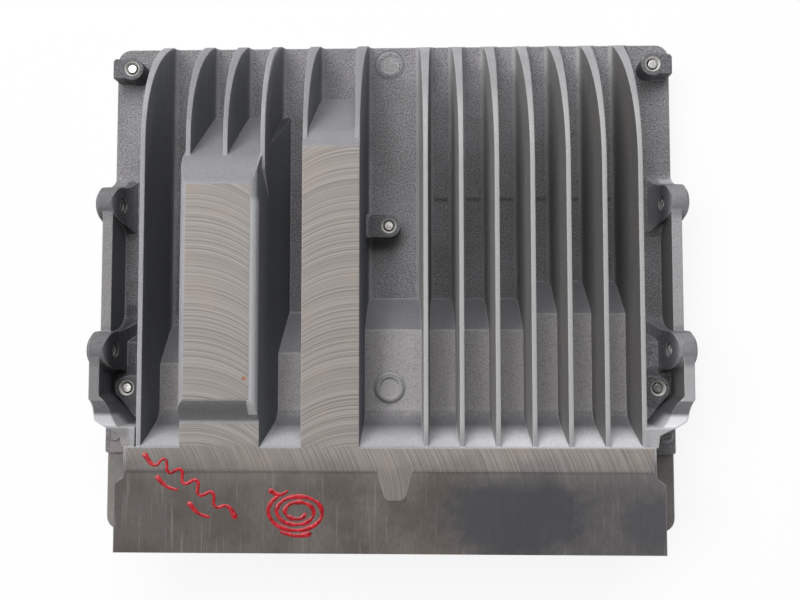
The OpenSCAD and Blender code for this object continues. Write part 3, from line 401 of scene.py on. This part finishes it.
# %% Colour of smooth faces, place by place
smooth = w.colour(w.fade(skin["Clouds"], 0.3, 0.7), tone(140, 139, 142), tone(156, 155, 158))
# The left side is painted darker and the right side painted lighter, against lamps that light the left more.
smooth = w.tint(smooth, (left_edge, 0.8, (112, 110, 110)), (right_edge, 0.7, (170, 169, 171)))
# Painted light and shade on steep faces: faces turned left get a lit tone that darkens to the right, faces turned
# right a shaded tone that lightens towards the top end.
lit_side_tone = w.colour(w.fade(xyz["X"], 30.0, 105.0), tone(152, 150, 148), tone(116, 114, 112))
shaded_side_tone = w.colour(w.fade(xyz["Y"], 20.0, 100.0), tone(92, 95, 102), tone(120, 123, 130))
smooth = w.colour(steep, smooth, w.colour(w.fade(slope["X"], -0.5, 0.5), lit_side_tone, shaded_side_tone))
# Painted shade in the side pockets, much darker in the left one, where the side wall would shade it.
pocket_shade = w.colour(left_edge, tone(112, 111, 113), tone(60, 61, 66))
smooth = w.colour(w.times(pocket, 0.8), smooth, pocket_shade)
# Painted shade darkens the tab lobes, the side slopes, the small ramps, the long slopes, the wedge beside the block
# and the block's low end; a painted highlight lightens the block's shoulder.
smooth = w.tint(smooth, (shaded_lobe, 0.6, (88, 88, 92)), (shaded_side_slope, 0.85, (76, 76, 80)),
    (shaded_small_ramp, 0.8, (104, 104, 109)), (shaded_long_slope, 0.8, (124, 124, 129)), (shaded_edge, 0.9, (48, 50, 56)),
    (shaded_low_end, 0.85, (98, 96, 96)), (lit_shoulder, 0.8, (186, 186, 188)))
# The hood ramps are painted in light and shade: dark at the foot, light at the top, and lighter to the right, where
# the fins would shade them.
ramp_top_light = w.colour(w.fade(xyz["X"], 0.0, 60.0), tone(188, 188, 192), tone(222, 222, 226))
ramp_shade_and_light = w.colour(w.fade(xyz["Z"], 31.0, 45.0), tone(108, 108, 113), ramp_top_light)
smooth = w.colour(w.times(hood_ramp, 0.9), smooth, ramp_shade_and_light)
smooth = w.tint(smooth, (fin_top, 0.8, (170, 170, 169)))
print("nodes so far:", len(w.tree.nodes))

# %% Colour of rough floors, with grain, pits, a dark line and bright specks
raw = w.colour(w.fade(skin["Clouds"], 0.3, 0.7), tone(118, 116, 118), tone(136, 134, 137))
raw = w.tint(raw, (raised_floor, 0.7, (164, 161, 161)))
dull = w.colour(low_floor, smooth, raw)
coarse = w.times(low_floor, w.rest(w.times(raised_floor, 0.7)))
pale_grain = w.times(w.fade(skin["Grain"], 0.5, 0.7), w.span(coarse, 0.12, 0.6))
dark_grain = w.times(w.fade(skin["Grain"], 0.5, 0.32), w.span(coarse, 0.12, 0.7))
flow = w.times(steep, w.fade(skin["Streaks"], 0.45, 0.7))
# A dark line across the bays' floors.
dark_line = w.times(low_floor, w.band(xyz["Y"], 38.6, 40.2, 1.0), w.band(xyz["X"], 12.0, 104.0, 1.0))
specks = w.times(steep, w.fade(skin["Pits"], 0.8, 1.0), w.fade(skin["Grain"], 0.52, 0.6), w.fade(xyz["X"], 5.0, 20.0))
# The ramps' foot and the left lower pocket are painted darker, as shade in the crease and under the wall.
dull = w.tint(dull, (shaded_ramp_foot, 0.6, (100, 99, 103)), (pale_grain, 1.0, (176, 175, 178)),
    (dark_grain, 1.0, (62, 62, 66)), (low_pocket_shade, 0.6, (54, 55, 60)), (flow, 0.35, (96, 97, 102)),
    (left_ear, 0.5, (164, 152, 152)), (dark_line, 0.6, (44, 44, 46)), (specks, 0.7, (214, 214, 212)))
print("nodes so far:", len(w.tree.nodes))

# %% Colour of the hood: brown-grey, brushed and stained
hooded = w.colour(w.fade(skin["Clouds"], 0.35, 0.65), tone(88, 81, 77), tone(104, 98, 94))
brushed = w.noise(w.stretch(place, (1.9, 0.4, 1.0)), 1.0, 3.0, 0.6)
hooded = w.tint(hooded, (w.fade(xyz["X"], 20.0, 100.0), 0.7, (86, 86, 90)),
    (w.fade(xyz["X"], -20.0, -90.0), 0.5, (74, 69, 66)), (w.fade(brushed, 0.5, 0.35), 0.35, (68, 63, 60)),
    (w.fade(skin["Streaks"], 0.57, 0.72), 0.45, (130, 125, 122)))
dull = w.colour(hood_skin, dull, hooded)
spots = {"spill": ((51, -94, skin_z), (36, 22, 12), 0.7), "end": ((105, -97, skin_z), (14, 13, 9), 0.7),
    "rust": ((-57, -39.5, block_z), (1.3, 1.0, 2), 1.6)}
spot = {}
for label, (centre, radii, ragged) in spots.items():
    sockets = {"Place": place, "Centre": centre, "Radii": radii, "Ragged": ragged}
    spot[label] = w.group(stain, sockets)["Mask"]
dull = w.tint(dull, (spot["spill"], 0.85, (66, 67, 71)), (spot["end"], 0.6, (72, 72, 75)))
print("spots:", list(spot))

# %% Milled metal over the cast skin, then wear with painted glints, scratches and rust
bright = w.colour(w.fade(lines, 0.33, 0.67), tone(124, 119, 115), tone(154, 148, 144))
bright = w.tint(bright, (w.fade(skin["Clouds"], 0.52, 0.7), 0.35, (152, 139, 124)))
wavy_y = w.math("ADD", xyz["Y"], w.times(w.math("SUBTRACT", skin["Clouds"], 0.5), 16.0))
leftward = w.fade(xyz["X"], 0.0, -80.0)
bright = w.colour(w.times(w.fade(wavy_y, -68.0, -78.0), w.span(leftward, 0.45, 0.6)), bright, hooded)
# The band is painted darker towards the left, against lamps that light the left more.
bright = w.tint(bright, (w.times(w.fade(xyz["Y"], -64.0, -69.0), leftward), 0.4, (98, 93, 90)))
smear = w.times(hood_skin, w.fade(wavy_y, -86.0, -75.0), 0.4)
shade = w.colour(w.most(milled, smear), dull, bright)
# Every edge is lightened: the convex ones as wear, the creases as painted glints.
wear_and_glint_turn = (0.015, 0.18)
wear_and_glint = w.fade(edges["Turn"], *wear_and_glint_turn)
open_to_marks_and_glint = w.rest(w.most(shaded_edge, spot["spill"], shaded_low_end))
fine_lines = w.times(w.group(scratches, {"Place": place})["Lines"], level)
shade = w.tint(shade, (w.times(wear_and_glint, open_to_marks_and_glint), 0.55, (190, 188, 188)),
    (w.times(fine_lines, open_to_marks_and_glint), 0.3, (190, 186, 182)), (spot["rust"], 0.85, (150, 92, 58)))
print("nodes so far:", len(w.tree.nodes))


# %% Shaded ejector discs, dark bosses and bright rings round the screws
def from_upright_axis(x, y):
    return w.apart(place, w.add("CombineXYZ", {"X": x, "Y": y, "Z": xyz["Z"]}).outputs[0])


disc_axes = [(-0.6, 101.75), (0.0, -44.7)]
screw_axes = [(-116.4, 98.0), (116.4, 98.0), (-116.4, -45.2), (116.4, -45.2), (-0.6, 26.25)]
for x, y in disc_axes:
    away = from_upright_axis(x, y)
    shade = w.tint(shade, (w.times(w.band(away, 5.4, 7.0, 0.5), low_floor), 0.45, (66, 66, 68)),
        (w.times(w.fade(away, 4.4, 3.6), low_floor), 0.3, (176, 174, 173)))
nearest = from_upright_axis(*screw_axes[0])
for x, y in screw_axes[1:]:
    nearest = w.math("MINIMUM", nearest, from_upright_axis(x, y))
boss = w.times(w.fade(nearest, 9.6, 8.6), w.band(xyz["Z"], 17.5, 25.5, 0.5))
ring = w.times(w.fade(nearest, 3.5, 3.1), w.fade(xyz["Z"], 22.0, 23.0))
shade = w.tint(shade, (boss, 0.55, (66, 66, 70)), (ring, 1.0, (204, 202, 198)))
w.feed(shader["Base Color"], shade)
print("discs:", len(disc_axes), "rings:", len(screw_axes))

# %% Roughness and relief of the casting
rough = w.blend(skin["Clouds"], 0.5, 0.66)
rough = w.blend(milled, rough, w.span(lines, 0.46, 0.6))
rough = w.blend(hood_skin, rough, w.span(skin["Streaks"], 0.42, 0.6))
w.feed(shader["Roughness"], w.blend(ring, rough, 0.3))
grain_height = w.times(skin["Grain"], w.span(low_floor, 0.1, 0.42))
pit_height = w.times(skin["Pits"], -0.08)
untouched = w.rest(w.most(milled, w.times(hood_skin, 0.85)))
cast_height = w.times(w.math("ADD", grain_height, pit_height), untouched)
line_height = w.times(lines, milled, 0.025)
relief(w, shader, w.math("ADD", cast_height, line_height), edges)
print("cast_metal nodes:", len(w.tree.nodes))

# %% [markdown]
# ## Cover
# The cover is a second casting, smoother and a little darker, with dirt along its foot where it was bolted down.
# It needs no milling, so a lighter version of the same skin will do.

# %% Cover metal
cover_metal, w, shader, place = new_finish("cover_metal", 0.3)
xyz = w.add("SeparateXYZ", {0: place}).outputs
skin = w.group(cast_skin, {"Place": place})
edges = w.group(soft_edges, {"Radius": 0.8 * MM})
shade = w.colour(w.fade(skin["Clouds"], 0.3, 0.7), tone(104, 101, 98), tone(128, 124, 121))
foot_dirt = w.times(w.fade(xyz["Z"], 5.0, 0.0), w.fade(skin["Streaks"], 0.4, 0.7))
fine_lines = w.group(scratches, {"Place": place})["Lines"]
# Edges are lightened: the convex ones as wear, the creases as painted glints.
shade = w.tint(shade, (w.fade(skin["Grain"], 0.52, 0.75), 0.4, (150, 147, 144)), (foot_dirt, 0.5, (74, 70, 66)),
    (w.fade(edges["Turn"], *wear_and_glint_turn), 0.5, (180, 178, 176)), (fine_lines, 0.5, (190, 188, 186)))
w.feed(shader["Base Color"], shade)
w.feed(shader["Roughness"], w.blend(skin["Clouds"], 0.45, 0.62))
relief(w, shader, w.math("ADD", w.times(skin["Grain"], 0.12), w.times(skin["Pits"], -0.05)), edges)
print("cover_metal nodes:", len(w.tree.nodes))

# %% [markdown]
# ## Small parts' finishes
# The rest is what any such unit holds: plated steel, moulded plastics, rubber, plated contacts, a lacquered
# board and the parts on it. They share one recipe: a colour that varies in clouds, a fine grain as relief
# and a roughness that follows the clouds. Only the numbers differ.


# %% Recipe for a small part's finish
def small_part(name, dark, pale, metallic, smooth, dull, cloud, grain, height, edge_tone=None):
    """Two screen colours, metallic, least and most roughness, two pattern scales and a relief in millimetres."""
    finish, w, shader, place = new_finish(name, metallic)
    skin = w.group(plain_skin, {"Place": place, "Cloud Scale": cloud, "Grain Scale": grain})
    edges = w.group(soft_edges, {"Radius": 0.25 * MM})
    shade = w.colour(w.fade(skin["Clouds"], 0.3, 0.7), tone(*dark), tone(*pale))
    shade = w.tint(shade, (w.fade(skin["Grain"], 0.5, 0.75), 0.25, pale))
    if edge_tone:
        shade = w.tint(shade, (w.fade(edges["Turn"], 0.02, 0.2), 0.6, edge_tone))
    w.feed(shader["Base Color"], shade)
    w.feed(shader["Roughness"], w.blend(skin["Clouds"], smooth, dull))
    relief(w, shader, w.times(skin["Grain"], height), edges)
    return finish


recipes = {
    "screw_steel": ("plated_steel", (156, 155, 152), (204, 203, 200), 1.0, 0.3, 0.46, 0.5, 4.0, 0.01, (206, 206, 204)),
    "black_plastic": ("black_moulding", (26, 26, 28), (40, 40, 42), 0.0, 0.42, 0.6, 0.06, 3.0, 0.05, (70, 70, 72)),
    "grey_plastic": ("grey_moulding", (62, 63, 66), (78, 80, 83), 0.0, 0.45, 0.6, 0.06, 3.0, 0.04),
    "seal_rubber": ("cured_bead", (30, 30, 32), (46, 46, 47), 0.0, 0.55, 0.8, 0.15, 1.2, 0.12),
    "contact_metal": ("plated_contact", (214, 186, 118), (236, 214, 152), 1.0, 0.18, 0.35, 0.4, 5.0, 0.01),
    "chip_resin": ("moulded_resin", (34, 34, 36), (48, 48, 50), 0.0, 0.45, 0.65, 0.2, 6.0, 0.02, (84, 84, 86)),
    "can_aluminium": ("drawn_can", (190, 190, 188), (224, 224, 222), 1.0, 0.25, 0.42, 0.2, 3.0, 0.01),
    "ceramic": ("sintered_body", (150, 122, 88), (186, 160, 122), 0.0, 0.5, 0.75, 0.5, 6.0, 0.03),
    "pad_silicone": ("soft_pad", (176, 178, 182), (206, 208, 210), 0.0, 0.7, 0.9, 0.2, 1.5, 0.1),
    "membrane": ("porous_film", (222, 221, 216), (243, 242, 238), 0.0, 0.75, 0.95, 0.3, 8.0, 0.05),
}
finishes = {slot: small_part(*recipe) for slot, recipe in recipes.items()}
finishes.update(cast_aluminium=cast_metal, cover_aluminium=cover_metal)
print("finishes:", len(finishes))

# %% Board lacquer with copper lines under it
lacquer, w, shader, place = new_finish("board_lacquer")
tracks = w.add("TexBrick", {"Vector": place, "Scale": 0.6, "Mortar Size": 0.05, "Mortar Smooth": 0.2,
    "Brick Width": 2.4, "Row Height": 0.7}, offset=0.37).outputs["Fac"]
clouds = w.noise(place, 0.05, 3.0)
shade = w.colour(clouds, tone(18, 66, 42), tone(28, 84, 54))
w.feed(shader["Base Color"], w.colour(w.times(tracks, 0.6), shade, tone(58, 116, 70)))
w.feed(shader["Roughness"], w.blend(clouds, 0.28, 0.42))
relief(w, shader, w.times(tracks, 0.03), w.group(soft_edges, {"Radius": 0.2 * MM}))
finishes["board_laminate"] = lacquer
print("board_lacquer nodes:", len(w.tree.nodes))

# %% Enamelled wire: turns stacked along the coil
wire, w, shader, place = new_finish("enamelled_wire", 1.0)
wire_d = 0.9
stack = w.add("SeparateXYZ", {0: place}).outputs["Z"]
turns = w.math("SINE", w.times(stack, 2 * math.pi / wire_d))
# Painted highlight on each turn's crest and painted shade in the grooves between turns.
shade = w.colour(w.span(turns, 0.5, 1.0), tone(120, 62, 34), tone(206, 122, 74))
w.feed(shader["Base Color"], shade)
w.feed(shader["Roughness"], w.blend(w.noise(place, 0.5), 0.22, 0.4))
relief(w, shader, w.times(turns, 0.18), w.group(soft_edges, {"Radius": 0.2 * MM}))
finishes["coil_wire"] = wire
print("enamelled_wire nodes:", len(w.tree.nodes))

# %% Give every node its finish
for solid in nodes.values():
    part = solid.material_slots[0]
    part.material = finishes[part.material.name.split(".")[0]]
print("finished nodes:", sum(o.material_slots[0].material in finishes.values() for o in nodes.values()))

# %% [markdown]
# ## Threads in the side tabs
# The four side tabs have cut threads, and their bright turns show inside the holes. A thread could be a bump in
# the material, but from above its turns catch the light one by one, so it is a real ridge: a small triangle that
# the Screw modifier winds along the hole. One is modelled, and the others are copies with their own meshes.

# %% Bright metal of a fresh cut
cut_metal = small_part("cut_metal", (226, 225, 222), (246, 245, 243), 0.2, 0.25, 0.4, 0.6, 3.0, 0.01)
print("finish:", cut_metal.name)


# %% How a new piece is finished
def select_only(piece):
    bpy.ops.object.select_all(action="DESELECT")
    piece.select_set(True)
    bpy.context.view_layer.objects.active = piece


def finish_piece(piece, name, material):
    """Name, material, body and slot of a new piece, with its place put into its mesh."""
    select_only(piece)
    bpy.ops.object.transform_apply(location=True, rotation=True, scale=True)
    piece.name = name
    piece.data.materials.clear()
    piece.data.materials.append(material)
    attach(piece, "root")


# %% One thread, wound up the Z axis
pitch, turns_long, bore_r = 1.0 * MM, 9, 2.5 * MM
ridge_r, proud, steps = 0.42 * MM, 0.05 * MM, 28
bpy.ops.mesh.primitive_circle_add(vertices=3, radius=ridge_r, rotation=(math.pi / 2, 0, math.pi / 2))
thread = bpy.context.object
bpy.ops.object.transform_apply(location=False, rotation=True, scale=True)
bpy.ops.object.mode_set(mode="EDIT")
bpy.ops.mesh.select_all(action="SELECT")
bpy.ops.transform.rotate(value=math.pi / 2, orient_axis="Z", center_override=(0, 0, 0))
bpy.ops.transform.translate(value=(bore_r - proud, 0, 0))
bpy.ops.object.mode_set(mode="OBJECT")
winding = thread.modifiers.new("winding", "SCREW")
winding.axis, winding.angle, winding.screw_offset = "Z", 2 * math.pi, pitch
winding.iterations, winding.steps, winding.render_steps = turns_long, steps, steps
bpy.ops.object.modifier_apply(modifier="winding")
bpy.ops.object.mode_set(mode="EDIT")
bpy.ops.mesh.select_all(action="SELECT")
bpy.ops.mesh.remove_doubles(threshold=1e-6)
bpy.ops.mesh.fill_holes(sides=4)
bpy.ops.mesh.normals_make_consistent(inside=False)
bpy.ops.object.mode_set(mode="OBJECT")
print("thread faces:", len(thread.data.polygons), "length in mm:", round(thread.dimensions.z / MM, 1))

# %% A thread in each tab
tab_x = 120.4 * MM
for side, label in ((1, "right"), (-1, "left")):
    for (y, z), row in zip(tab_axes, ("upper", "lower")):
        copy = bpy.data.objects.new("thread", thread.data.copy())
        scene.collection.objects.link(copy)
        copy.matrix_world = (Matrix.Translation((side * tab_x, y * MM, z * MM))
            @ Matrix.Rotation(side * math.pi / 2, 4, "Y"))
        finish_piece(copy, f"{row}_{label}_thread_turns", cut_metal)
bpy.data.objects.remove(thread)

# %% [markdown]
# ## Red paint on the hood
# Someone dabbed the hood with thick red paint. The strokes stand up from the metal and end in round drops, so a
# flat colour in the material would look printed. Each stroke is a curve with a round section that swells at its
# ends, turned into a mesh, pressed flat and laid on the hood. Each stroke is a piece of its own.

# %% Glossy red paint
red_paint, w, shader, place = new_finish("red_paint")
clouds = w.noise(place, 0.35, 3.0)
thick = w.noise(place, 1.4, 2.0)
shade = w.colour(w.fade(clouds, 0.3, 0.7), tone(136, 16, 26), tone(188, 30, 42))
w.feed(shader["Base Color"], w.colour(w.times(w.fade(thick, 0.55, 0.75), 0.5), shade, tone(214, 66, 72)))
w.feed(shader["Roughness"], w.blend(clouds, 0.18, 0.35))
relief(w, shader, w.times(thick, 0.12), w.group(soft_edges, {"Radius": 0.2 * MM}))
print("red_paint nodes:", len(w.tree.nodes))


# %% Strokes as points on the hood, in millimetres, with the width at each point
def coil(centre, radii, turns, count, start=2.2, shrink=0.72):
    """Points of a flat coil that closes in on its middle, with a width that swells and thins."""
    points = []
    for step in range(count):
        share = step / (count - 1)
        angle, reach = 2 * math.pi * turns * share + start, 1.0 - shrink * share
        points.append((centre[0] + radii[0] * reach * math.cos(angle), centre[1] + radii[1] * reach * math.sin(angle),
            0.95 + 0.25 * math.sin(5 * angle)))
    return points


strokes = {
    "long_wave": [(-98.6, -70.4, 1.3), (-94.2, -74.6, 0.8), (-90.4, -72.2, 0.7), (-88.6, -77.6, 0.8),
        (-83.8, -76.4, 0.8), (-82.6, -82.0, 0.7), (-77.4, -80.8, 0.9), (-76.2, -86.6, 0.8), (-71.0, -85.6, 0.8),
        (-69.6, -91.2, 0.7), (-64.8, -91.0, 0.8), (-61.4, -95.4, 1.4)],
    "upper_flick": [(-93.4, -79.6, 1.3), (-89.6, -83.2, 0.8), (-85.2, -84.6, 0.6)],
    "lower_flick": [(-80.2, -90.0, 1.2), (-76.6, -93.8, 0.8), (-72.2, -95.4, 0.7)],
    "coil": coil((-36.4, -93.2), (12.2, 8.2), 2.6, 34),
    "coil_dab": [(-47.4, -84.8, 1.2), (-43.6, -86.4, 0.9), (-40.4, -85.0, 0.7)],
    "coil_tail": [(-43.0, -101.2, 0.7), (-37.0, -102.6, 0.9), (-31.4, -101.9, 1.4)],
}
print("strokes:", len(strokes), "points:", sum(len(s) for s in strokes.values()))


# %% Height of the hood under a stroke, and round ends
def hood_height(y, edge_l=1.6):
    """Height of the hood in millimetres: the milled band, a short slope and the skin."""
    share = min(max((band_y - y) / edge_l, 0.0), 1.0)
    return milled_z + (skin_z - milled_z) * share


def with_tips(points, reach=0.7, tip_wide=0.2):
    """The points with one more beyond each end, where the stroke closes like a drop."""
    tips = []
    for (x0, y0, _), (x1, y1, wide) in ((points[1], points[0]), (points[-2], points[-1])):
        share = reach * wide / math.hypot(x1 - x0, y1 - y0)
        tips.append((x1 + (x1 - x0) * share, y1 + (y1 - y0) * share, tip_wide))
    return [tips[0], *points, tips[1]]


print("drop in mm at the band's edge:", round(milled_z - skin_z, 2))

# %% Lay each stroke on the hood
paint_r, flatness = 0.9 * MM, 0.3
for label, shape in strokes.items():
    points = with_tips(shape)
    track = bpy.data.curves.new(label, "CURVE")
    track.dimensions, track.bevel_depth, track.bevel_resolution = "3D", paint_r, 3
    track.use_fill_caps, track.resolution_u = True, 8
    line = track.splines.new("BEZIER")
    line.bezier_points.add(len(points) - 1)
    for knot, (x, y, wide) in zip(line.bezier_points, points):
        knot.co, knot.radius = (x * MM, y * MM, 0), wide
        knot.handle_left_type = knot.handle_right_type = "AUTO"
    stroke = bpy.data.objects.new(label, track)
    scene.collection.objects.link(stroke)
    select_only(stroke)
    bpy.ops.object.convert(target="MESH")
    bpy.ops.object.mode_set(mode="EDIT")
    bpy.ops.mesh.select_all(action="SELECT")
    bpy.ops.transform.resize(value=(1, 1, flatness), center_override=(0, 0, 0))
    bpy.ops.mesh.normals_make_consistent(inside=False)
    bpy.ops.object.mode_set(mode="OBJECT")
    for corner in stroke.data.vertices:
        corner.co.z += hood_height(corner.co.y / MM) * MM
    bpy.ops.object.shade_smooth_by_angle(angle=math.radians(50))
    finish_piece(stroke, f"red_{label}_stroke", red_paint)
    print(label, "faces:", len(stroke.data.polygons))
